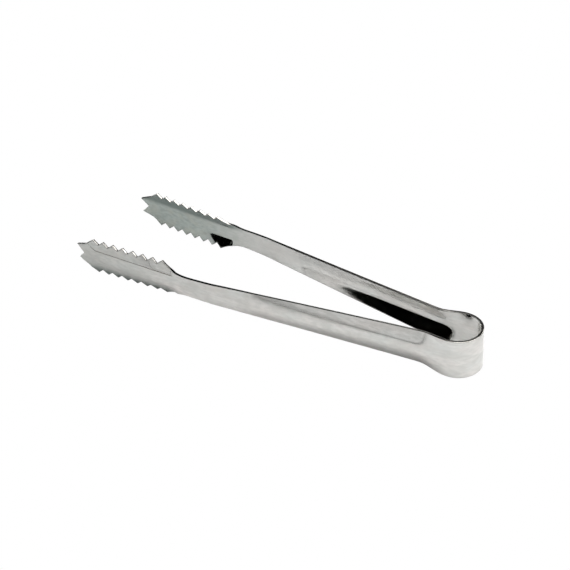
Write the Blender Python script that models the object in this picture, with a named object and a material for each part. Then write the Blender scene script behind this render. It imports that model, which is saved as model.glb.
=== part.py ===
"""Ice tongs folded from one strip of stainless steel, lying on their edge.

The strip is a U: a flat spring bow at +X, two arms that run to -X, and a toothed claw at the end of
each arm.  Z is the width of the strip, so the bow's lower rim and the lower teeth stand on Z = 0.
The right-hand arm is at +Y and the left-hand arm is its mirror image at -Y.

The real tongs are one piece of sheet.  It is modelled as regions of that sheet, each a closed solid:
the crown of the bow is fixed, and each side of the sheet turns about an upright bending axis that
stands in the middle of its half of the bow.

Every region is a patch of the sheet's middle surface, given by two coordinates: the distance along
the strip from the middle of the bow, and the distance across the strip from its centre line.
"""

import math

import bmesh
import bpy
from mathutils import Vector

MM = 0.001

# The sheet
THICKNESS = 1.0 * MM
HALF_BLANK = 8.35 * MM  # half the width of the strip before anything is cut from it
GAP = 0.3 * MM  # clearance between neighbouring regions

# The path of the strip seen from above: (length, left turn) from the crown towards the claw
CROWN_X = 90.3 * MM  # outermost point of the bow
BOW_RADIUS = 8.84 * MM  # radius of the middle surface
ARM_SPLAY = math.radians(5.95)  # angle between the arm and the X axis
CLAW_SPLAY = math.radians(1.75)  # the claws stand nearly parallel
TIP_CURL = math.radians(11.4)  # the front of each claw curls inward
BOW_TURN = math.radians(90.0) - ARM_SPLAY
BOW_LENGTH = BOW_RADIUS * BOW_TURN
ARM_LENGTH = 100.3 * MM
HOCK_LENGTH = 16.4 * MM
CLAW_LENGTH = 47.0 * MM
CURL_LENGTH = 9.1 * MM
PATH = (
    (BOW_LENGTH, BOW_TURN),
    (ARM_LENGTH, 0.0),
    (HOCK_LENGTH, ARM_SPLAY - CLAW_SPLAY),
    (CLAW_LENGTH, 0.0),
    (CURL_LENGTH, TIP_CURL),
)
TIP = sum(length for length, _ in PATH)  # distance along the strip to the points of the prongs

# The pressed channel of the arm
SHOULDER_LENGTH = 15.5 * MM  # the arm widens to the full strip over this length
SHOULDER_END = BOW_LENGTH + SHOULDER_LENGTH
CHANNEL_START = BOW_LENGTH + 0.5 * MM  # the flat bow ends and the channel begins
CHANNEL_FADE = 14.5 * MM  # the channel reaches its full depth over this length
ARM_END = BOW_LENGTH + ARM_LENGTH
HALF_HEIGHT_AT_SHOULDER = 7.25 * MM
HALF_HEIGHT_AT_NECK = 4.55 * MM
CHANNEL_DEPTH = 2.7 * MM  # greatest depth, where the arm meets its shoulder
DEEPENING_POWER = 0.83  # 1 would deepen the channel evenly
CHANNEL_ROUNDING = 0.3  # 0 is a sharp fold along the middle of the arm, more is rounder

# The claw
TOOTH_COUNT = 8
TOOTH_PITCH = 5.15 * MM
TOOTH_DEPTH = 2.0 * MM
FIRST_TOOTH = TIP - 10.1 * MM  # distance along the strip to the tip of the front tooth
LAST_TOOTH = FIRST_TOOTH - (TOOTH_COUNT - 1) * TOOTH_PITCH
CREASE = 3.05 * MM  # half the width of the palm between the two folds
WING_FOLD_FRONT = math.radians(6.0)
WING_FOLD_REAR = math.radians(21.0)
NECK_START = LAST_TOOTH - 13.5 * MM  # the claw's rear curve runs out into the arm here
FLARE_POWER = 2.2  # how hollow the curve is between the last tooth and the neck

# The fishtail at the very front
PRONG_SPREAD = 3.3 * MM  # half the distance between the two points
NOTCH = TIP - 3.5 * MM  # bottom of the notch between the points
FISHTAIL_ROOT = TIP - 5.3 * MM  # where the fishtail meets the palm and the front teeth
FISHTAIL_HALF_WIDTH = 5.3 * MM

# The bending axis of each side
HINGE = BOW_LENGTH / 2

# Base colour and roughness of the steel in each region
STEEL = {
    "bow": ((0.66, 0.65, 0.63), 0.22),
    "arm": ((0.62, 0.62, 0.60), 0.25),
    "claw": ((0.55, 0.56, 0.54), 0.30),
}
SHARP_EDGE = math.radians(40.0)

# How finely each region is divided along and across the strip
BOW_ROWS = 7
SHOULDER_ROWS = 6
HANDLE_ROWS = 10
NECK_ROWS = 10
PALM_ROWS = 8
CHANNEL_COLUMNS = (-1.0, -0.62, -0.28, 0.0, 0.28, 0.62, 1.0)  # shares of the half width


def clear_scene():
    for item in list(bpy.data.objects):
        bpy.data.objects.remove(item, do_unlink=True)


def ease(value):
    """0 to 1 with level ends."""
    value = min(max(value, 0.0), 1.0)
    return value * value * (3.0 - 2.0 * value)


def mix(first, last, share):
    return first + (last - first) * min(max(share, 0.0), 1.0)


def spread(first, last, count):
    """COUNT stations at equal distances, both ends included."""
    return [mix(first, last, i / (count - 1)) for i in range(count)]


def centre_line(station):
    """Place and heading of the right-hand strip, seen from above, at a distance from the crown."""
    x, y, heading = CROWN_X - THICKNESS / 2, 0.0, math.radians(90.0)
    for length, turn in PATH:
        run = min(station, length)
        turned = turn * run / length
        chord = 2.0 * length / turn * math.sin(turned / 2) if turn else run
        x += chord * math.cos(heading + turned / 2)
        y += chord * math.sin(heading + turned / 2)
        heading += turned
        station -= run
    return x, y, heading


def arm_half_height(station):
    """The arm tapers to the neck, and widens to the full strip in the shoulder."""
    tapering = (station - SHOULDER_END) / (NECK_START - SHOULDER_END)
    height = mix(HALF_HEIGHT_AT_SHOULDER, HALF_HEIGHT_AT_NECK, tapering)
    return mix(height, HALF_BLANK, ease((SHOULDER_END - station) / SHOULDER_LENGTH))


def claw_half_width(station):
    """The hollow curve behind the teeth, the teeth, and the slope in front of the first tooth."""
    if station <= LAST_TOOTH:
        hollow = ((station - NECK_START) / (LAST_TOOTH - NECK_START)) ** FLARE_POWER
        return mix(HALF_HEIGHT_AT_NECK, HALF_BLANK, hollow)
    if station >= FIRST_TOOTH:
        slope = (station - FIRST_TOOTH) / (FISHTAIL_ROOT - FIRST_TOOTH)
        return mix(HALF_BLANK, FISHTAIL_HALF_WIDTH, slope)
    beyond_tip = (FIRST_TOOTH - station) / TOOTH_PITCH % 1.0
    return HALF_BLANK - TOOTH_DEPTH * (1.0 - abs(2.0 * beyond_tip - 1.0))


def half_width(station):
    return arm_half_height(station) if station < NECK_START else claw_half_width(station)


def channel_depth(station):
    """The channel deepens from the neck and fades out in the shoulder."""
    deepening = max((ARM_END - station) / (ARM_END - SHOULDER_END), 0.0) ** DEEPENING_POWER
    return mix(0.0, CHANNEL_DEPTH, deepening) * ease((station - CHANNEL_START) / CHANNEL_FADE)


def wing_fold(station):
    """Fold angle of the claw's wings: almost flat in front, strongest at the last tooth."""
    behind = (FIRST_TOOTH - station) / (FIRST_TOOTH - LAST_TOOTH)
    fading = ease((station - NECK_START) / (LAST_TOOTH - NECK_START))
    return mix(WING_FOLD_FRONT, WING_FOLD_REAR, behind) * fading


def section(station, across):
    """Inward offset and height of the middle surface at a distance across the strip."""
    distance = abs(across)
    inward, height = 0.0, distance
    depth = channel_depth(station)
    if depth > 0.0:
        share = distance / half_width(station)
        rise = math.hypot(share, CHANNEL_ROUNDING) - CHANNEL_ROUNDING
        inward = depth * rise / (math.hypot(1.0, CHANNEL_ROUNDING) - CHANNEL_ROUNDING)
    if distance > CREASE and station > NECK_START:
        fold = wing_fold(station)
        inward = (distance - CREASE) * math.sin(fold)
        height = CREASE + (distance - CREASE) * math.cos(fold)
    return inward, math.copysign(height, across)


def sheet_point(side, station, across):
    """A point of the middle surface; SIDE is 1 on the right and -1 on the left."""
    x, y, heading = centre_line(station)
    inward, height = section(station, across)
    x -= inward * math.sin(heading)
    y += inward * math.cos(heading)
    return Vector((x, side * y, HALF_BLANK + height))


def grid_faces(rows, columns):
    """Four-sided faces between neighbouring rows of points."""
    return [
        (r * columns + c, r * columns + c + 1, (r + 1) * columns + c + 1, (r + 1) * columns + c)
        for r in range(rows - 1)
        for c in range(columns - 1)
    ]


def steel(name, kind):
    """The node's own stainless steel."""
    colour, roughness = STEEL[kind]
    material = bpy.data.materials.new(name)
    material.use_nodes = True
    shader = material.node_tree.nodes["Principled BSDF"]
    shader.inputs["Base Color"].default_value = (*colour, 1.0)
    shader.inputs["Metallic"].default_value = 1.0
    shader.inputs["Roughness"].default_value = roughness
    return material


def sheet_object(name, kind, points, faces, axis=None):
    """A closed solid, one sheet thick, from points and faces of the middle surface."""
    origin = axis.location if axis else Vector()
    shape = bmesh.new()
    corners = [shape.verts.new(point - origin) for point in points]
    for face in faces:
        shape.faces.new([corners[i] for i in face])
    mesh = bpy.data.meshes.new(name)
    shape.to_mesh(mesh)
    shape.free()
    mesh.materials.append(steel(name, kind))
    mesh.shade_smooth()
    mesh.set_sharp_from_angle(angle=SHARP_EDGE)
    item = bpy.data.objects.new(name, mesh)
    bpy.context.collection.objects.link(item)
    item.parent = axis
    solid = item.modifiers.new("sheet", "SOLIDIFY")
    solid.thickness = THICKNESS
    solid.offset = 0.0
    solid.use_even_offset = True
    return item


def region(name, kind, side, axis, stations, columns):
    """A region between its first and last station; COLUMNS gives the distances across at one."""
    points = [sheet_point(side, s, across) for s in stations for across in columns(s)]
    return sheet_object(name, kind, points, grid_faces(len(stations), len(columns(stations[0]))), axis)


def bow_columns(_station):
    return -HALF_BLANK, 0.0, HALF_BLANK


def channel_columns(station):
    return [share * half_width(station) for share in CHANNEL_COLUMNS]


def neck_columns(station):
    edge = half_width(station)
    return -edge, -CREASE, 0.0, CREASE, edge


def palm_columns(_station):
    edge = CREASE - GAP / 2
    return -edge, 0.0, edge


def tooth_columns(row):
    """Columns of one row of teeth; ROW is 1 for the upper row and -1 for the lower row."""

    def columns(station):
        inner, outer = CREASE + GAP / 2, half_width(station)
        return row * inner, row * (inner + outer) / 2, row * outer

    return columns


def bow_crown():
    """The fixed middle of the bow, from one bending axis round to the other."""
    half = spread(0.0, HINGE - GAP / 2, BOW_ROWS)
    places = [(-1, s) for s in reversed(half[1:])] + [(1, s) for s in half]
    points = [sheet_point(side, s, across) for side, s in places for across in bow_columns(s)]
    sheet_object("bow_crown", "bow", points, grid_faces(len(places), len(bow_columns(0.0))))


def bending_axis(hand, side):
    """An empty on the upright axis that one side of the tongs turns about."""
    axis = bpy.data.objects.new(f"{hand}_bending_axis", None)
    x, y, _ = centre_line(HINGE)
    axis.location = (x, side * y, HALF_BLANK)
    axis.empty_display_size = HALF_BLANK
    bpy.context.collection.objects.link(axis)
    return axis


def fishtail(name, side, axis):
    """The front of the claw, with its two points and the notch between them."""
    waist = mix(FISHTAIL_HALF_WIDTH, PRONG_SPREAD, (NOTCH - FISHTAIL_ROOT) / (TIP - FISHTAIL_ROOT))
    root = FISHTAIL_ROOT + GAP / 2
    outline = (
        [(root, across) for across in (-FISHTAIL_HALF_WIDTH, 0.0, FISHTAIL_HALF_WIDTH)]
        + [(NOTCH, across) for across in (-waist, 0.0, waist)]
        + [(TIP, across) for across in (-PRONG_SPREAD, PRONG_SPREAD)]
    )
    points = [sheet_point(side, s, across) for s, across in outline]
    sheet_object(name, "claw", points, grid_faces(2, 3) + [(3, 4, 6), (4, 5, 7)], axis)


def side_of_tongs(hand, side):
    """Everything beyond one bending axis, from the bow to the points of the claw."""
    axis = bending_axis(hand, side)
    behind_teeth = LAST_TOOTH - TOOTH_PITCH / 2
    along = (
        ("bow_leg", "bow", HINGE, BOW_LENGTH, BOW_ROWS, bow_columns),
        ("shoulder", "arm", BOW_LENGTH, SHOULDER_END, SHOULDER_ROWS, channel_columns),
        ("handle", "arm", SHOULDER_END, ARM_END, HANDLE_ROWS, channel_columns),
        ("neck", "arm", ARM_END, behind_teeth, NECK_ROWS, neck_columns),
        ("palm", "claw", behind_teeth, FISHTAIL_ROOT, PALM_ROWS, palm_columns),
    )
    for part, kind, first, last, rows, columns in along:
        stations = spread(first + GAP / 2, last - GAP / 2, rows)
        region(f"{hand}_{part}", kind, side, axis, stations, columns)
    tips_and_valleys = [LAST_TOOTH + TOOTH_PITCH * i / 2 for i in range(2 * TOOTH_COUNT - 1)]
    stations = [behind_teeth + GAP / 2, *tips_and_valleys, FISHTAIL_ROOT - GAP / 2]
    region(f"{hand}_upper_teeth", "claw", side, axis, stations, tooth_columns(1))
    region(f"{hand}_lower_teeth", "claw", side, axis, stations, tooth_columns(-1))
    fishtail(f"{hand}_fishtail", side, axis)


def build():
    clear_scene()
    bow_crown()
    side_of_tongs("right", 1)
    side_of_tongs("left", -1)


build()
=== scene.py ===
"""Ice tongs: one strip of stainless steel with a spring bow, two channelled arms and toothed claws.

Each half of the strip is one closed mesh, from the crown of the bow to the points of its claw.  It
is the sheet of the CAD model without the gaps between its regions, with the rounded shear edges,
the bend radii and the run-out of the folds that the CAD model leaves out.

A point of the sheet is given by three lengths of the flat blank: the distance along the strip from
the crown (station), the distance across it from the centre line, and the height above the middle
surface, which is positive on the outside of the tongs.
"""

import math
from functools import lru_cache

import bpy
from mathutils import Matrix, Vector


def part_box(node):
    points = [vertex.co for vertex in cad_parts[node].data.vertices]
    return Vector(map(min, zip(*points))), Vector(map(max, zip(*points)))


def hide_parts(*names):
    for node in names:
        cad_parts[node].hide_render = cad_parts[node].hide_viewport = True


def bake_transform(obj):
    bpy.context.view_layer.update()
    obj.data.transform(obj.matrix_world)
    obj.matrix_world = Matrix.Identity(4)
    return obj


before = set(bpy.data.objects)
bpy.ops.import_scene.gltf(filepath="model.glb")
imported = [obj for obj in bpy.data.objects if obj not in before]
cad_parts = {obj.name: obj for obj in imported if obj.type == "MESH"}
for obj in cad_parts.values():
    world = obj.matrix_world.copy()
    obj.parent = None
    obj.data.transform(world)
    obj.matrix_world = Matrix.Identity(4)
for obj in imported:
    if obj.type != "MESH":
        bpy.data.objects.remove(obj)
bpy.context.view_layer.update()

MM = 0.001
CROWN_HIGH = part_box("bow_crown")[1]

# ---- The sheet ----
THICKNESS = 1.0 * MM
HALF_BLANK = CROWN_HIGH.z / 2  # half the width of the strip before anything is cut from it
CROWN_X = CROWN_HIGH.x - THICKNESS / 2  # the middle surface at the crown of the bow

# ---- The path of the strip seen from above: (length, left turn) from the crown to the claw ----
BOW_RADIUS = 8.84 * MM  # radius of the middle surface
ARM_SPLAY = math.radians(5.95)
CLAW_SPLAY = math.radians(1.75)
TIP_CURL = math.radians(11.4)
BOW_TURN = math.radians(90.0) - ARM_SPLAY
BOW_LENGTH = BOW_RADIUS * BOW_TURN
ARM_LENGTH = 100.3 * MM
PATH = (
    (BOW_LENGTH, BOW_TURN),
    (ARM_LENGTH, 0.0),
    (16.4 * MM, ARM_SPLAY - CLAW_SPLAY),
    (47.0 * MM, 0.0),
    (9.1 * MM, TIP_CURL),
)
TIP = sum(length for length, _ in PATH)

# ---- The pressed channel of the arm ----
SHOULDER_LENGTH = 15.5 * MM
SHOULDER_END = BOW_LENGTH + SHOULDER_LENGTH
CHANNEL_START = BOW_LENGTH + 0.5 * MM
CHANNEL_FADE = 12.5 * MM  # the channel grows from nothing over this length
ARM_END = BOW_LENGTH + ARM_LENGTH
HALF_HEIGHT_AT_SHOULDER = 7.25 * MM
HALF_HEIGHT_AT_NECK = 4.55 * MM
EDGE_DEPTH = 2.7 * MM  # how far the edges bend inward from the straight arm at the shoulder
EDGE_POWER = 0.83  # under 1, so the edges curve most near the neck
CHANNEL_SLOPE_REAR = 0.37  # depth of the channel as a share of its half height
CHANNEL_SLOPE_FRONT = 0.25
CHANNEL_END = ARM_END + 1.0 * MM
CHANNEL_FRONT_FADE = 22.0 * MM
CHANNEL_ROUNDING = 0.3  # roundness of the ridge, as a share of the half height

# ---- The claw ----
TOOTH_COUNT = 8
TOOTH_PITCH = 5.15 * MM
TOOTH_DEPTH = 2.0 * MM
FIRST_TOOTH = TIP - 10.1 * MM
LAST_TOOTH = FIRST_TOOTH - (TOOTH_COUNT - 1) * TOOTH_PITCH
TOOTH_ROUNDING = 0.075  # share of half a pitch over which a tip or a valley is rounded
CREASE = {1: 3.25 * MM, -1: 2.6 * MM}  # centre line to the fold of the upper and of the lower wing
BEND_HALF = {1: 0.3 * MM, -1: 0.6 * MM}  # the fold takes this much of the sheet on each side
CREASE_RISE_START = FIRST_TOOTH - 1.5 * MM  # in front the crease turns out to the edge of the strip
CREASE_RISE_END = FIRST_TOOTH + 2.9 * MM
GROOVE_DEPTH = 0.1 * MM  # the die has scored the outside along the upper crease
GROOVE_HALF_WIDTH = 0.28 * MM
GROOVE_START = LAST_TOOTH - 6.4 * MM
GROOVE_FADE = 1.5 * MM
WING_FOLD_FRONT = math.radians(6.0)
WING_FOLD_REAR = math.radians(22.0)
WING_FOLD_END = LAST_TOOTH - 8.4 * MM  # the wings run out into the flat neck here
WING_RUN_OUT = 3.8 * MM
NECK_START = LAST_TOOTH - 13.5 * MM
FLARE_POWER = 2.2  # the hollow curve behind the teeth
LEAST_FOLD = 1e-6  # a wing's fold angle is never quite 0, because the bend divides by it

# ---- The fishtail at the very front ----
PRONG_SPREAD = 3.3 * MM
NOTCH = TIP - 3.5 * MM
FISHTAIL_ROOT = TIP - 5.3 * MM
FISHTAIL_HALF_WIDTH = 5.3 * MM
POINT_HALF_WIDTH = 0.12 * MM  # the points of the prongs are not knife sharp
NOTCH_OPENING = 0.5 * MM  # the inner wall of a prong gets its rounded corners over this length

# ---- The cut edge ----
ROLLOVER = 0.2 * MM  # rounding on the outside, where the die pulled the sheet in
BURR_SIDE = 0.09 * MM  # and on the inside, which is sharper
EDGE_STEPS = 3  # facets round each of the two corners of the edge
HOLD = 0.1 * MM  # a narrow strip beside the corner keeps the face's shading flat up to it
SHARP_ANGLE = math.radians(50.0)  # edges sharper than this aren't shaded smooth

# ---- The finish ----
EDGE_SHADE_WIDTH = 0.4 * MM  # a dark line of painted shade this wide runs along the edges of the arms
CLAW_EDGE_SHADE_WIDTH = 0.65 * MM  # and this wide round the teeth
CLAW_EDGE_SHADE_START = NECK_START + 5.0 * MM
CLAW_EDGE_SHADE_FADE = 8.0 * MM
WING_SHADE_OUTSIDE = (3.2 * MM, 8.0 * MM)  # painted shade: the claw is painted darker towards the lower edge outside
WING_SHADE_INSIDE = (2.2 * MM, 4.4 * MM)  # and in the fold of the upper wing inside
WING_SHADE_FADE = 9.0 * MM
# Painted shade, as distances from the crown, which are negative on the left-hand half: the
# right-hand neck and claw are painted darker, the left-hand claw a little
NECK_SHADE_SPAN = (60.0 * MM, 110.0 * MM)
RIGHT_CLAW_SHADE_SPAN = (120.0 * MM, 155.0 * MM)
LEFT_CLAW_SHADE_SPAN = (-130.0 * MM, -170.0 * MM)
WORN_WALL = (90.0 * MM, 125.0 * MM)  # the cut wall is rough on both arms, and less so from here on
WAVER = 0.12 * MM  # how far the border between the sheared and the torn band wanders
BORDER = 0.06 * MM  # half the width of that border
WARM_STEEL = (0.715, 0.69, 0.665)
COOL_STEEL = (0.65, 0.66, 0.64)
SMUDGED_STEEL = (0.48, 0.47, 0.44)
MOTTLED_STEEL = (0.5, 0.5, 0.48)
# painted shade on the right-hand neck and the claws; the stain and patina patterns are laid only
# inside the painted shade of the claws
NECK_SHADE_STEEL = (0.5, 0.505, 0.49)
STAIN_AND_SHADE_STEEL = (0.27, 0.31, 0.29)
PATINA_AND_SHADE_STEEL = (0.46, 0.47, 0.415)
CLAW_SHADE_STEEL = (0.41, 0.465, 0.44)
SCRATCHED_STEEL = (0.74, 0.74, 0.73)
# painted shade: the dark line along the edges of the strip
EDGE_SHADE_STEEL = (0.2, 0.205, 0.2)
# painted shade on the claw's wings: darker towards the lower edge outside and in the upper fold
# inside
WING_SHADE_STEEL = (0.19, 0.225, 0.21)
# painted shade in the scored groove along the upper crease
GROOVE_SHADE_STEEL = (0.16, 0.14, 0.12)
WALL_DARK = (0.44, 0.42, 0.39)
WALL_LIGHT = (0.6, 0.58, 0.55)
WALL_TORN = (0.4, 0.39, 0.37)
NOISE = (0.3, 0.7)  # most of the values of a pattern lie between these

# ---- How finely the sheet is divided ----
BOW_ROWS = 56
BOW_CROWDING = 1.3  # above 1, so the rows lie closer together at the crown
ARM_ROWS = 110
NECK_ROWS = 44
FLANK = (0.0, 0.02, 0.05, 0.1, 0.2, 0.35, 0.5, 0.65, 0.8, 0.9, 0.95, 0.98)  # along a tooth's flank
FRONT_ROWS = 14
PRONG_ROWS = 16
PRONG_CROWDING = 1.4
INNER_COLUMNS = 11  # from the centre line to the crease
CREASE_COLUMNS = 8
WING_COLUMNS = 7
LEAST_INNER = 0.3  # shares of a narrow face: at least this much lies inside the crease,
MOST_BEND = 0.06  # at most this much is half the bend
MOST_HOLD = 0.03  # and at most this much is held flat beside the corner
NORMAL_STEP = 0.02 * MM  # slopes are measured between points this far on either side
GRID = 1e8  # two points of the blank are one if they are the same in steps of 1 / GRID metres
WALL_MARGIN = 1e-7  # a face belongs to the cut wall if its points lie deeper than this in the sheet

# ---- The studio, in metres, and its brightness ----
ROOM_SIZE = 12.0
FLOOR_LEVEL = -0.05 * MM
TABLE_SIZE = 3.0
TABLE_LEVEL = -0.02 * MM
BOARD_GLOW = 0.7
CARD_GLOW = 0.78
CARD_DIM = 0.48  # the front card's glow along the lower edge of its right-hand part
CARD_DIM_FROM = (-0.33, -0.24)  # the right-hand part begins between these two places
CARD_DIM_BELOW = (0.006, 0.04)  # and the dim edge fades between these two levels
LIGHT_TARGET = (0.1, -0.02, 0.0)
BLACK = (0.0, 0.0, 0.0, 1.0)
WHITE = (1.0, 1.0, 1.0, 1.0)
PALE = (0.9, 0.9, 0.9, 1.0)


def ease(value):
    """0 to 1 with level ends."""
    value = min(max(value, 0.0), 1.0)
    return value * value * (3.0 - 2.0 * value)


def mix(first, last, share):
    """From FIRST to LAST as SHARE goes from 0 to 1, and not beyond either."""
    return first + (last - first) * min(max(share, 0.0), 1.0)


@lru_cache(maxsize=None)
def centre_line(station):
    """Place and heading of the right-hand strip, seen from above, at a distance from the crown."""
    x, y, heading = CROWN_X, 0.0, math.radians(90.0)
    for length, turn in PATH:
        run = min(station, length)
        turned = turn * run / length
        chord = 2.0 * length / turn * math.sin(turned / 2) if turn else run
        x += chord * math.cos(heading + turned / 2)
        y += chord * math.sin(heading + turned / 2)
        heading += turned
        station -= run
    return x, y, heading


def arm_half_height(station):
    """The arm tapers to the neck, and widens to the full strip in the shoulder."""
    tapering = (station - SHOULDER_END) / (NECK_START - SHOULDER_END)
    height = mix(HALF_HEIGHT_AT_SHOULDER, HALF_HEIGHT_AT_NECK, tapering)
    return mix(height, HALF_BLANK, ease((SHOULDER_END - station) / SHOULDER_LENGTH))


def claw_half_width(station):
    """The hollow curve behind the teeth, the teeth, and the slope in front of the first tooth."""
    if station <= LAST_TOOTH:
        hollow = ((station - NECK_START) / (LAST_TOOTH - NECK_START)) ** FLARE_POWER
        return mix(HALF_HEIGHT_AT_NECK, HALF_BLANK, hollow)
    if station >= FIRST_TOOTH:
        slope = (station - FIRST_TOOTH) / (FISHTAIL_ROOT - FIRST_TOOTH)
        return mix(HALF_BLANK, FISHTAIL_HALF_WIDTH, slope)
    beyond_tip = (FIRST_TOOTH - station) / TOOTH_PITCH % 1.0
    from_valley = math.hypot(2.0 * beyond_tip - 1.0, TOOTH_ROUNDING)
    from_tip = math.hypot(1.0 - abs(2.0 * beyond_tip - 1.0), TOOTH_ROUNDING)
    return HALF_BLANK - TOOTH_DEPTH * (1.0 + from_tip - from_valley) / 2


@lru_cache(maxsize=None)
def outer_edge(station):
    """Distance from the centre line to the edge of the strip."""
    if station < NECK_START:
        return arm_half_height(station)
    if station < FISHTAIL_ROOT:
        return claw_half_width(station)
    narrowing = (station - FISHTAIL_ROOT) / (TIP - FISHTAIL_ROOT)
    return mix(FISHTAIL_HALF_WIDTH, PRONG_SPREAD + POINT_HALF_WIDTH, narrowing)


def notch_edge(station):
    """Distance from the centre line to the inner edge of a prong."""
    return mix(0.0, PRONG_SPREAD - POINT_HALF_WIDTH, (station - NOTCH) / (TIP - NOTCH))


@lru_cache(maxsize=None)
def crease_at(station, hand):
    """Distance from the centre line to a wing's fold, which follows the edge behind the claw."""
    if station < NECK_START:
        return CREASE[hand] * arm_half_height(station) / HALF_HEIGHT_AT_NECK
    risen = (station - CREASE_RISE_START) / (CREASE_RISE_END - CREASE_RISE_START)
    turned_out = 1.0 - math.sqrt(1.0 - min(max(risen, 0.0), 1.0) ** 2)
    return mix(CREASE[hand], outer_edge(station), turned_out)


def edge_inward(station):
    """How far the long edges of the arm lie inside its straight centre plane."""
    bending = max((ARM_END - station) / (ARM_END - SHOULDER_END), 0.0) ** EDGE_POWER
    return mix(0.0, EDGE_DEPTH, bending)


def channel_depth(station):
    """The channel keeps nearly the same slope along the arm and fades out at both ends."""
    along = (station - SHOULDER_END) / (ARM_END - SHOULDER_END)
    slope = mix(CHANNEL_SLOPE_REAR, CHANNEL_SLOPE_FRONT, along)
    return slope * outer_edge(station) * ease((CHANNEL_END - station) / CHANNEL_FRONT_FADE)


def wing_fold(station):
    """Fold angle of the claw's wings: almost flat in front, strongest at the last tooth."""
    behind = (FIRST_TOOTH - station) / (FIRST_TOOTH - LAST_TOOTH)
    fading = ease((station - WING_FOLD_END) / WING_RUN_OUT)
    return mix(WING_FOLD_FRONT, WING_FOLD_REAR, behind) * fading


@lru_cache(maxsize=None)
def station_shape(station):
    """Channel depth, how far its ridge stands out, half width and wing fold at a station."""
    entry = ease((station - CHANNEL_START) / CHANNEL_FADE)
    depth = channel_depth(station) * entry
    ridge_out = depth - edge_inward(station) * entry
    fold = max(wing_fold(station), LEAST_FOLD) if station > WING_FOLD_END else 0.0
    return depth, ridge_out, outer_edge(station), fold


def section(station, across):
    """Inward offset and height of the middle surface at a distance across the strip."""
    depth, ridge_out, edge, fold = station_shape(station)
    distance = abs(across)
    hand = 1 if across > 0.0 else -1
    bend_start = crease_at(station, hand) - BEND_HALF[hand]
    inward, height = 0.0, distance
    if depth > 0.0:
        rise = math.hypot(distance / edge, CHANNEL_ROUNDING) - CHANNEL_ROUNDING
        inward = depth * rise / (math.hypot(1.0, CHANNEL_ROUNDING) - CHANNEL_ROUNDING) - ridge_out
    if fold and distance > bend_start:
        bend = 2 * BEND_HALF[hand]
        turned = fold * min((distance - bend_start) / bend, 1.0)
        straight = max(distance - bend_start - bend, 0.0)
        inward = bend / fold * (1.0 - math.cos(turned)) + straight * math.sin(fold)
        height = bend_start + bend / fold * math.sin(turned) + straight * math.cos(fold)
    return inward, math.copysign(height, across)


def groove(station, across):
    """1 at the bottom of the scored line along the upper crease, 0 beside it."""
    if not GROOVE_START < station < CREASE_RISE_END:
        return 0.0
    beside = abs(across - crease_at(station, 1)) / GROOVE_HALF_WIDTH
    return ease(1.0 - beside) * ease((station - GROOVE_START) / GROOVE_FADE)


def middle_surface(station, across):
    """A point of the middle surface of the right-hand half."""
    x, y, heading = centre_line(station)
    inward, height = section(station, across)
    return Vector(
        (x - inward * math.sin(heading), y + inward * math.cos(heading), HALF_BLANK + height)
    )


def sheet_point(blank):
    """Where a point of the flat blank (station, across, height) is on the folded right half."""
    station, across, height = blank
    if height > 0.0:
        height -= GROOVE_DEPTH * groove(station, across) * height / (THICKNESS / 2)
    step = NORMAL_STEP
    along = middle_surface(station + step, across) - middle_surface(station - step, across)
    over = middle_surface(station, across + step) - middle_surface(station, across - step)
    return middle_surface(station, across) + along.cross(over).normalized() * height


# ---- The mesh of one half of the strip ----


def edge_profile(corner_share=1.0):
    """Points round a cut edge, outer face to inner: (distance in from the edge, height)."""
    points = []
    for radius, outer in ((ROLLOVER, 1), (BURR_SIDE, -1)):
        arc = []
        for step in range(EDGE_STEPS + 1):
            angle = math.radians(90.0) * step / EDGE_STEPS
            inset = radius * (1.0 - math.sin(angle)) * corner_share
            arc.append((inset, outer * (THICKNESS / 2 - radius * (1.0 - math.cos(angle)))))
        points += arc if outer == 1 else arc[::-1]
    return points


def face_columns(station, hand, first, last):
    """Distances across one face between two edges, closer together round the crease."""
    width = last - first
    bend = min(BEND_HALF[hand], MOST_BEND * width)
    hold = min(HOLD, MOST_HOLD * width)
    least_wing = bend / 2
    crease = max(crease_at(station, hand), first + LEAST_INNER * width)
    crease = min(crease, last - hold - least_wing - bend)
    inner = [mix(first, crease - bend, i / INNER_COLUMNS) for i in range(INNER_COLUMNS)]
    bent = [mix(crease - bend, crease + bend, i / CREASE_COLUMNS) for i in range(CREASE_COLUMNS)]
    wing = [mix(crease + bend, last - hold, i / WING_COLUMNS) for i in range(WING_COLUMNS + 1)]
    return inner + bent + wing


def half_ring(station, hand):
    """Half of a ring round the strip: out from the centre line, round the edge and back inside."""
    edge = outer_edge(station)
    outside = [(a, THICKNESS / 2) for a in face_columns(station, hand, 0.0, edge - ROLLOVER)]
    inside = [(a, -THICKNESS / 2) for a in face_columns(station, hand, 0.0, edge - BURR_SIDE)]
    rim = [(edge - inset, height) for inset, height in edge_profile()]
    return [(station, hand * a, height) for a, height in outside + rim + inside[::-1]]


def full_ring(station):
    """The ring round the whole width of the strip."""
    upper, lower = half_ring(station, 1), half_ring(station, -1)
    return upper[:-1] + lower[::-1][:-1]


def prong_ring(station, hand):
    """The ring round one prong of the fishtail; its inner wall starts with square corners."""
    opening = ease((station - NOTCH) / NOTCH_OPENING)
    inner, edge = notch_edge(station), outer_edge(station)
    roll, burr = ROLLOVER * opening, BURR_SIDE * opening
    outside = face_columns(station, hand, inner + roll, edge - ROLLOVER)
    inside = face_columns(station, hand, inner + burr, edge - BURR_SIDE)
    loop = [(a, THICKNESS / 2) for a in outside]
    loop += [(edge - inset, height) for inset, height in edge_profile()]
    loop += [(a, -THICKNESS / 2) for a in inside[::-1]]
    loop += [(inner + inset, height) for inset, height in edge_profile(opening)[::-1][1:-1]]
    return [(station, hand * a, height) for a, height in loop]


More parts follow.
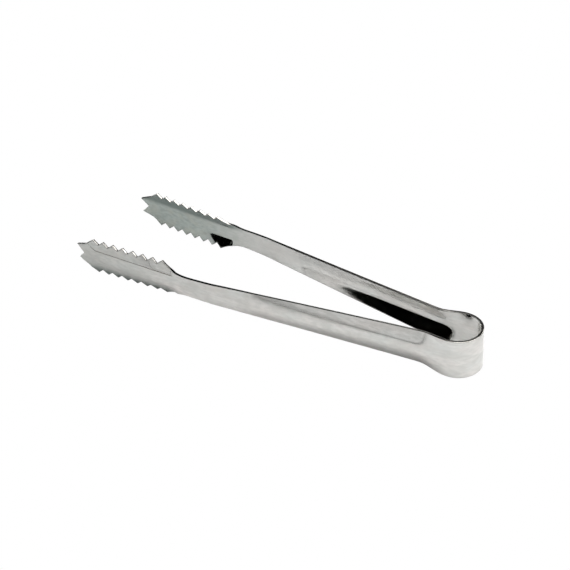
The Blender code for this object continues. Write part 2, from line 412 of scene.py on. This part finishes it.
def stations_to_notch():
    """Distances along the strip of the rings from the crown to the bottom of the notch."""
    bow = [BOW_LENGTH * (i / BOW_ROWS) ** BOW_CROWDING for i in range(BOW_ROWS)]
    arm = [mix(BOW_LENGTH, NECK_START, i / ARM_ROWS) for i in range(ARM_ROWS)]
    neck = [mix(NECK_START, LAST_TOOTH, i / NECK_ROWS) for i in range(NECK_ROWS)]
    flank = TOOTH_PITCH / 2
    teeth = [
        LAST_TOOTH + flank * (i + share) for i in range(2 * TOOTH_COUNT - 2) for share in FLANK
    ]
    slope = [mix(FIRST_TOOTH, FISHTAIL_ROOT, i / FRONT_ROWS) for i in range(FRONT_ROWS)]
    root = [mix(FISHTAIL_ROOT, NOTCH, i / FRONT_ROWS) for i in range(FRONT_ROWS + 1)]
    return bow + arm + neck + teeth + slope + root


def prong_stations():
    """Distances along the strip of the rings from the bottom of the notch to the points."""
    return [mix(NOTCH, TIP, (i / PRONG_ROWS) ** PRONG_CROWDING) for i in range(PRONG_ROWS + 1)]


class SheetMesh:
    """Points of the blank and the faces between them; the same point is never made twice."""

    def __init__(self):
        self.blanks = []
        self.faces = []
        self.numbers = {}

    def number(self, blank):
        """The number of a point, which is added if it's new."""
        key = tuple(round(value * GRID) for value in blank)
        if key not in self.numbers:
            self.numbers[key] = len(self.blanks)
            self.blanks.append(blank)
        return self.numbers[key]

    def face(self, corners):
        """A face between numbered points, unless fewer than three of them are different."""
        kept = [c for i, c in enumerate(corners) if c != corners[i - 1]]
        if len(kept) > 2:
            self.faces.append(kept)

    def tube(self, rings):
        """Faces between neighbouring closed rings."""
        rows = [[self.number(blank) for blank in ring] for ring in rings]
        for row, after in zip(rows, rows[1:]):
            for i in range(len(row)):
                self.face((row[i - 1], row[i], after[i], after[i - 1]))
        return rows


def right_sheet():
    """The closed sheet of the right-hand half: (points of the blank, their places, faces)."""
    sheet = SheetMesh()
    body = sheet.tube([full_ring(station) for station in stations_to_notch()])
    sheet.face(body[0][::-1])
    for hand in (1, -1):
        rings = [prong_ring(station, hand) for station in prong_stations()]
        prong = sheet.tube([ring[::hand] for ring in rings])
        sheet.face(prong[-1])
    return sheet.blanks, [sheet_point(blank) for blank in sheet.blanks], sheet.faces


def edge_shade_closeness(blank):
    """1 at the edge of the strip, falling to 0 at the end of the dark line of painted shade along
    it.
    """
    station, across, _ = blank
    width = mix(EDGE_SHADE_WIDTH, CLAW_EDGE_SHADE_WIDTH, (station - CLAW_EDGE_SHADE_START) / CLAW_EDGE_SHADE_FADE)
    return max(1.0 - (outer_edge(station) - abs(across)) / width, 0.0)


def scored(blank):
    """1 in the scored line, which is only on the outside."""
    station, across, height = blank
    return groove(station, across) if height > 0.0 else 0.0


def painted_wing_shade(blank):
    """How much painted shade the claw's wings get, from 0 to 1."""
    station, across, height = blank
    start, end = WING_SHADE_OUTSIDE if height > 0.0 else WING_SHADE_INSIDE
    towards_edge = -across if height > 0.0 else across
    fading = ease((station - NECK_START) / WING_SHADE_FADE)
    return ease((towards_edge - start) / (end - start)) * fading


def half_strip(name, side, blanks, places, faces, materials):
    """One half of the tongs as an object; the left half, SIDE -1, mirrors the right."""
    mesh = bpy.data.meshes.new(name)
    corners = [(x, side * y, z) for x, y, z in places]
    mesh.from_pydata(corners, [], faces if side == -1 else [face[::-1] for face in faces])
    flat = mesh.attributes.new("blank", "FLOAT_VECTOR", "POINT")
    for i, (station, across, height) in enumerate(blanks):
        flat.data[i].vector = (side * station, across, height)
    for share in (edge_shade_closeness, scored, painted_wing_shade):
        shares = mesh.attributes.new(share.__name__, "FLOAT", "POINT")
        for i, blank in enumerate(blanks):
            shares.data[i].value = share(blank)
    for material in materials:
        mesh.materials.append(material)
    for face in mesh.polygons:
        heights = [abs(blanks[number][2]) for number in face.vertices]
        face.material_index = 1 if max(heights) < THICKNESS / 2 - WALL_MARGIN else 0
    mesh.shade_smooth()
    mesh.set_sharp_from_angle(angle=SHARP_ANGLE)
    strip = bpy.data.objects.new(name, mesh)
    bpy.context.collection.objects.link(strip)
    return strip


# ---- Materials: their patterns lie on the flat blank, in metres, so they follow every fold ----


class Shader:
    """A Principled material and the nodes that feed it."""

    def __init__(self, name, metallic=1.0):
        self.material = bpy.data.materials.new(name)
        self.material.use_nodes = True
        self.tree = self.material.node_tree
        self.surface = self.tree.nodes["Principled BSDF"]
        self.surface.inputs["Metallic"].default_value = metallic

    def node(self, kind, inputs=(), **settings):
        """A new node; each of its inputs is given as a value or as the socket that feeds it."""
        made = self.tree.nodes.new(kind)
        for key, value in settings.items():
            setattr(made, key, value)
        for key, value in dict(inputs).items():
            if isinstance(value, bpy.types.NodeSocket):
                self.tree.links.new(value, made.inputs[key])
            else:
                made.inputs[key].default_value = value
        return made

    def attribute(self, name, output="Fac"):
        """What the mesh says about this place."""
        return self.node("ShaderNodeAttribute", attribute_name=name).outputs[output]

    def pattern(self, per_metre, detail=2.0, turn=0.0):
        """Noise of 0 to 1 with this many grains a metre along, across and through the sheet."""
        place = {"Vector": self.attribute("blank", "Vector"), "Scale": per_metre}
        place["Rotation"] = (0.0, 0.0, math.radians(turn))
        laid = self.node("ShaderNodeMapping", place).outputs["Vector"]
        noise = {"Vector": laid, "Scale": 1.0, "Detail": detail}
        return self.node("ShaderNodeTexNoise", noise).outputs["Fac"]

    def spread(self, value, low, high, to_low=0.0, to_high=1.0):
        """VALUE between LOW and HIGH drawn out to another range."""
        sockets = {"Value": value, "From Min": low, "From Max": high}
        sockets.update({"To Min": to_low, "To Max": to_high})
        return self.node("ShaderNodeMapRange", sockets, clamp=True).outputs["Result"]

    def combine(self, operation, first, second):
        """Two numbers put together by a Math node."""
        made = self.node("ShaderNodeMath", {0: first, 1: second}, operation=operation)
        return made.outputs["Value"]

    def blend(self, share, first, second):
        """The colour FIRST where SHARE is 0, SECOND where it is 1; as (r, g, b) or a socket."""
        first, second = ((*c, 1.0) if isinstance(c, tuple) else c for c in (first, second))
        made = self.node("ShaderNodeMix", {0: share, 6: first, 7: second}, data_type="RGBA")
        return made.outputs[2]  # the Mix node's colours are its inputs 6 and 7 and its output 2

    def bump(self, height, distance, normal=None):
        """A normal tilted by HEIGHT, which stands for DISTANCE metres, on top of another normal."""
        sockets = {"Height": height, "Distance": distance, "Strength": 1.0}
        if normal is not None:
            sockets["Normal"] = normal
        return self.node("ShaderNodeBump", sockets).outputs["Normal"]

    def feed(self, **sockets):
        """Link the finished sockets to the surface."""
        for key, value in sockets.items():
            self.tree.links.new(value, self.surface.inputs[key.replace("_", " ")])


def rolled_steel():
    """Bright-rolled stainless sheet: faint grain along the strip, scratches, handling marks."""
    steel = Shader("rolled_steel")
    swell = steel.pattern((55.0, 130.0, 0.0), detail=1.0)
    grain = steel.pattern((90.0, 4200.0, 0.0), detail=3.0)
    hairs = steel.spread(steel.pattern((55.0, 6200.0, 0.0), turn=1.5), 0.68, 0.74)
    nicks = steel.spread(steel.pattern((210.0, 5600.0, 0.0), turn=-24.0), 0.72, 0.78)
    smudge = steel.spread(steel.pattern((75.0, 260.0, 0.0), detail=4.0), 0.44, 0.6)
    mottle = steel.spread(steel.pattern((330.0, 900.0, 0.0), detail=4.0), 0.4, 0.62)
    tone = steel.spread(steel.pattern((60.0, 140.0, 0.0), detail=4.0), 0.36, 0.64)
    patina = steel.spread(steel.pattern((170.0, 260.0, 0.0), detail=4.0), 0.46, 0.6)
    scratches = steel.combine("MAXIMUM", hairs, nicks)
    # closeness to the edge, which carries the painted shade along the edges and a rougher rim
    rim = steel.attribute("edge_shade_closeness")
    line = steel.attribute("scored")
    wing_shade = steel.attribute("painted_wing_shade")
    along = steel.node("ShaderNodeSeparateXYZ", {"Vector": steel.attribute("blank", "Vector")})
    # painted shade: the right-hand neck, the right-hand claw and, a little, the left-hand claw are
    # painted darker
    neck = steel.spread(along.outputs["X"], *NECK_SHADE_SPAN)
    right_claw_shade = steel.spread(along.outputs["X"], *RIGHT_CLAW_SHADE_SPAN, 0.0, 0.85)
    left_claw_shade = steel.spread(along.outputs["X"], *LEFT_CLAW_SHADE_SPAN, 0.0, 0.15)
    claw_shade = steel.combine("MAXIMUM", right_claw_shade, left_claw_shade)
    stain_and_shade = steel.combine("MULTIPLY", mottle, claw_shade)
    patina_and_shade = steel.combine("MULTIPLY", patina, claw_shade)

    colour = steel.blend(tone, WARM_STEEL, COOL_STEEL)
    for mark, strength, tint in (
        (smudge, 0.35, SMUDGED_STEEL),
        (mottle, 0.42, MOTTLED_STEEL),
        (neck, 0.45, NECK_SHADE_STEEL),
        # painted shade on the claws, with stain and patina patterns inside it
        (claw_shade, 1.0, CLAW_SHADE_STEEL),
        (stain_and_shade, 0.55, STAIN_AND_SHADE_STEEL),
        (patina_and_shade, 0.55, PATINA_AND_SHADE_STEEL),
        (scratches, 0.3, SCRATCHED_STEEL),
        # painted shade on the claw's wings
        (wing_shade, 1.0, WING_SHADE_STEEL),
        # painted shade: a dark line along the edges
        (rim, 0.75, EDGE_SHADE_STEEL),
        # painted shade in the scored groove
        (line, 0.85, GROOVE_SHADE_STEEL),
    ):
        colour = steel.blend(steel.combine("MULTIPLY", mark, strength), colour, tint)

    rough = steel.spread(grain, *NOISE, 0.03, 0.065)
    for mark, roughened in ((smudge, 0.012), (scratches, 0.04), (rim, 0.06), (line, 0.3)):
        rough = steel.combine("ADD", rough, steel.combine("MULTIPLY", mark, roughened))

    normal = steel.bump(swell, 0.015 * MM)
    normal = steel.bump(grain, 0.0008 * MM, normal)
    normal = steel.bump(scratches, -0.0012 * MM, normal)
    steel.feed(Base_Color=colour, Roughness=rough, Normal=normal)
    return steel.material


def sheared_steel():
    """The cut wall of the strip: burnished next to the rolled corner, torn towards the burr."""
    steel = Shader("sheared_steel")
    strokes = steel.pattern((5200.0, 0.0, 260.0))
    torn_grain = steel.pattern((6000.0, 0.0, 6500.0), detail=3.0)
    place = steel.node("ShaderNodeSeparateXYZ", {"Vector": steel.attribute("blank", "Vector")})
    waver = steel.spread(steel.pattern((420.0, 0.0, 0.0)), *NOISE, -WAVER, WAVER)
    level = steel.combine("ADD", place.outputs["Z"], waver)
    torn = steel.spread(level, BORDER, -BORDER)
    from_crown = steel.combine("ABSOLUTE", place.outputs["X"], 0.0)
    worn = steel.spread(from_crown, *WORN_WALL, 0.12, 0.0)

    colour = steel.blend(steel.spread(strokes, *NOISE), WALL_DARK, WALL_LIGHT)
    colour = steel.blend(steel.combine("MULTIPLY", torn, 0.6), colour, WALL_TORN)

    rough = steel.combine("ADD", steel.spread(strokes, *NOISE, 0.05, 0.12), worn)
    rough = steel.combine("ADD", rough, steel.combine("MULTIPLY", torn, 0.08))

    normal = steel.bump(strokes, 0.003 * MM)
    normal = steel.bump(steel.combine("MULTIPLY", torn_grain, torn), 0.006 * MM, normal)
    steel.feed(Base_Color=colour, Roughness=rough, Normal=normal)
    return steel.material


def pale_floor():
    """The matt board that the steel reflects."""
    board = Shader("pale_floor", metallic=0.0)
    board.surface.inputs["Base Color"].default_value = PALE
    board.surface.inputs["Roughness"].default_value = 0.8
    return board.material


def glowing(name, strength):
    """The shader of a surface that only gives light."""
    lamp = Shader(name, metallic=0.0)
    lamp.surface.inputs["Base Color"].default_value = BLACK
    lamp.surface.inputs["Specular IOR Level"].default_value = 0.0
    lamp.surface.inputs["Emission Color"].default_value = WHITE
    lamp.surface.inputs["Emission Strength"].default_value = strength
    return lamp


def graded_card():
    """A glowing card that is dimmer along the lower edge of its right-hand part."""
    card = glowing("card_glow", CARD_GLOW)
    place = {"Vector": card.node("ShaderNodeNewGeometry").outputs["Position"]}
    place = card.node("ShaderNodeSeparateXYZ", place).outputs
    right = card.spread(place["X"], *CARD_DIM_FROM)
    low = card.spread(place["Z"], *CARD_DIM_BELOW, 1.0, 0.0)
    dim = card.combine("MULTIPLY", right, low)
    card.feed(Emission_Strength=card.spread(dim, 0.0, 1.0, CARD_GLOW, CARD_DIM))
    return card.material


# ---- The tongs ----

finishes = (rolled_steel(), sheared_steel())
sheet = right_sheet()
for hand, side in (("right", 1), ("left", -1)):
    strip = half_strip(f"{hand}_half", side, *sheet, finishes)
    x, y, _ = centre_line(BOW_LENGTH)
    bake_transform(strip)
    regions = [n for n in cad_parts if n.startswith(hand)]
    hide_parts("bow_crown", *regions)


# ---- Floor, light and camera ----


def add_plane(name, centre, size, facing, material):
    """A flat stage surface that isn't part of the tongs."""
    mesh = bpy.data.meshes.new(name)
    w, h = size[0] / 2, size[1] / 2
    mesh.from_pydata([(-w, -h, 0), (w, -h, 0), (w, h, 0), (-w, h, 0)], [], [(0, 1, 2, 3)])
    mesh.materials.append(material)
    plane = bpy.data.objects.new(name, mesh)
    bpy.context.collection.objects.link(plane)
    plane.location = centre
    plane.rotation_mode = "QUATERNION"
    plane.rotation_quaternion = Vector(facing).to_track_quat("Z", "Y")
    return plane


def add_light(name, centre, size, power, target):
    """A square soft box at CENTRE, turned towards TARGET."""
    light = bpy.data.lights.new(name, "AREA")
    light.shape = "SQUARE"
    light.size = size
    light.energy = power
    item = bpy.data.objects.new(name, light)
    bpy.context.collection.objects.link(item)
    item.location = centre
    item.rotation_mode = "QUATERNION"
    item.rotation_quaternion = (Vector(centre) - Vector(target)).to_track_quat("Z", "Y")
    unseen_by(item, "camera")


def unseen_by(item, *rays):
    """Hide an object from these kinds of ray."""
    for ray in rays:
        setattr(item, f"visible_{ray}", False)


def add_room():
    """The bright surroundings of a packshot, seen by the camera and left out of the reflections."""
    mesh = bpy.data.meshes.new("room")
    half = ROOM_SIZE / 2
    levels, sides = (FLOOR_LEVEL, ROOM_SIZE), (-half, half)
    corners = [(x, y, z) for z in levels for x in sides for y in sides]
    faces = ((0, 1, 3, 2), (4, 6, 7, 5), (0, 4, 5, 1), (2, 3, 7, 6), (0, 2, 6, 4), (1, 5, 7, 3))
    mesh.from_pydata(corners, [], faces)
    mesh.materials.append(glowing("bright_room", 1.0).material)
    room = bpy.data.objects.new("room", mesh)
    bpy.context.collection.objects.link(room)
    unseen_by(room, "glossy", "diffuse", "shadow", "transmission")


add_room()
table = add_plane("table", (0, 0, TABLE_LEVEL), (TABLE_SIZE, TABLE_SIZE), (0, 0, 1), pale_floor())
unseen_by(table, "camera")
card_glow = graded_card()
board_glow = glowing("board_glow", BOARD_GLOW).material
for name, centre, size, facing, glow in (
    ("front_card", (-0.1, -0.6, 0.086), (2.4, 0.16), (0, -1, 0), card_glow),
    ("left_board", (-0.825, -0.68, 0.001), (1.25, 1.04), (0, 0, 1), board_glow),
    ("back_card", (0.5, 0.6, 0.086), (1.4, 0.16), (0, -1, 0), board_glow),
):
    unseen_by(add_plane(name, centre, size, facing, glow), "camera", "diffuse", "shadow")
for name, centre, size, power in (
    ("front_box", (0.45, -0.35, 0.9), 0.7, 3.6),
    ("right_box", (0.9, 0.3, 0.6), 0.6, 3.2),
    ("top_box", (0.14, 0.02, 0.42), 0.42, 1.6),
    ("back_box", (0.31, 0.81, 0.49), 0.35, 1.5),
):
    add_light(name, centre, size, power, LIGHT_TARGET)

world = bpy.data.worlds.new("studio")
bpy.context.scene.world = world
world.use_nodes = True
world.node_tree.nodes["Background"].inputs["Color"].default_value = BLACK
bpy.context.scene.view_settings.view_transform = "Standard"

CAMERA_AZIMUTH = math.radians(37.50)
CAMERA_ELEVATION = math.radians(35.34)
CAMERA_ROLL = math.radians(-5.02)
CAMERA_DISTANCE = 456.06 * MM
CAMERA_LENS = 71.48
CAMERA_NEAR = 10.0 * MM
CAMERA_AIM = Vector((3.45 * MM, -0.02 * MM, HALF_BLANK))
CAMERA_SHIFT = 0.2 * MM  # the camera is moved up and to the left by this, without turning


def add_camera():
    """A camera that looks at its aim from the side, from above and a little tilted."""
    back = Vector(
        (
            math.sin(CAMERA_AZIMUTH) * math.cos(CAMERA_ELEVATION),
            -math.cos(CAMERA_AZIMUTH) * math.cos(CAMERA_ELEVATION),
            math.sin(CAMERA_ELEVATION),
        )
    )
    level = Vector((math.cos(CAMERA_AZIMUTH), math.sin(CAMERA_AZIMUTH), 0.0))
    upright = back.cross(level)
    right = level * math.cos(CAMERA_ROLL) + upright * math.sin(CAMERA_ROLL)
    up = upright * math.cos(CAMERA_ROLL) - level * math.sin(CAMERA_ROLL)
    place = CAMERA_AIM + back * CAMERA_DISTANCE + (up - right) * CAMERA_SHIFT
    camera = bpy.data.objects.new("camera", bpy.data.cameras.new("camera"))
    bpy.context.collection.objects.link(camera)
    camera.data.lens = CAMERA_LENS
    camera.data.clip_start = CAMERA_NEAR
    turn = Matrix((right, up, back)).transposed().to_4x4()
    camera.matrix_world = Matrix.Translation(place) @ turn
    bpy.context.scene.camera = camera


add_camera()
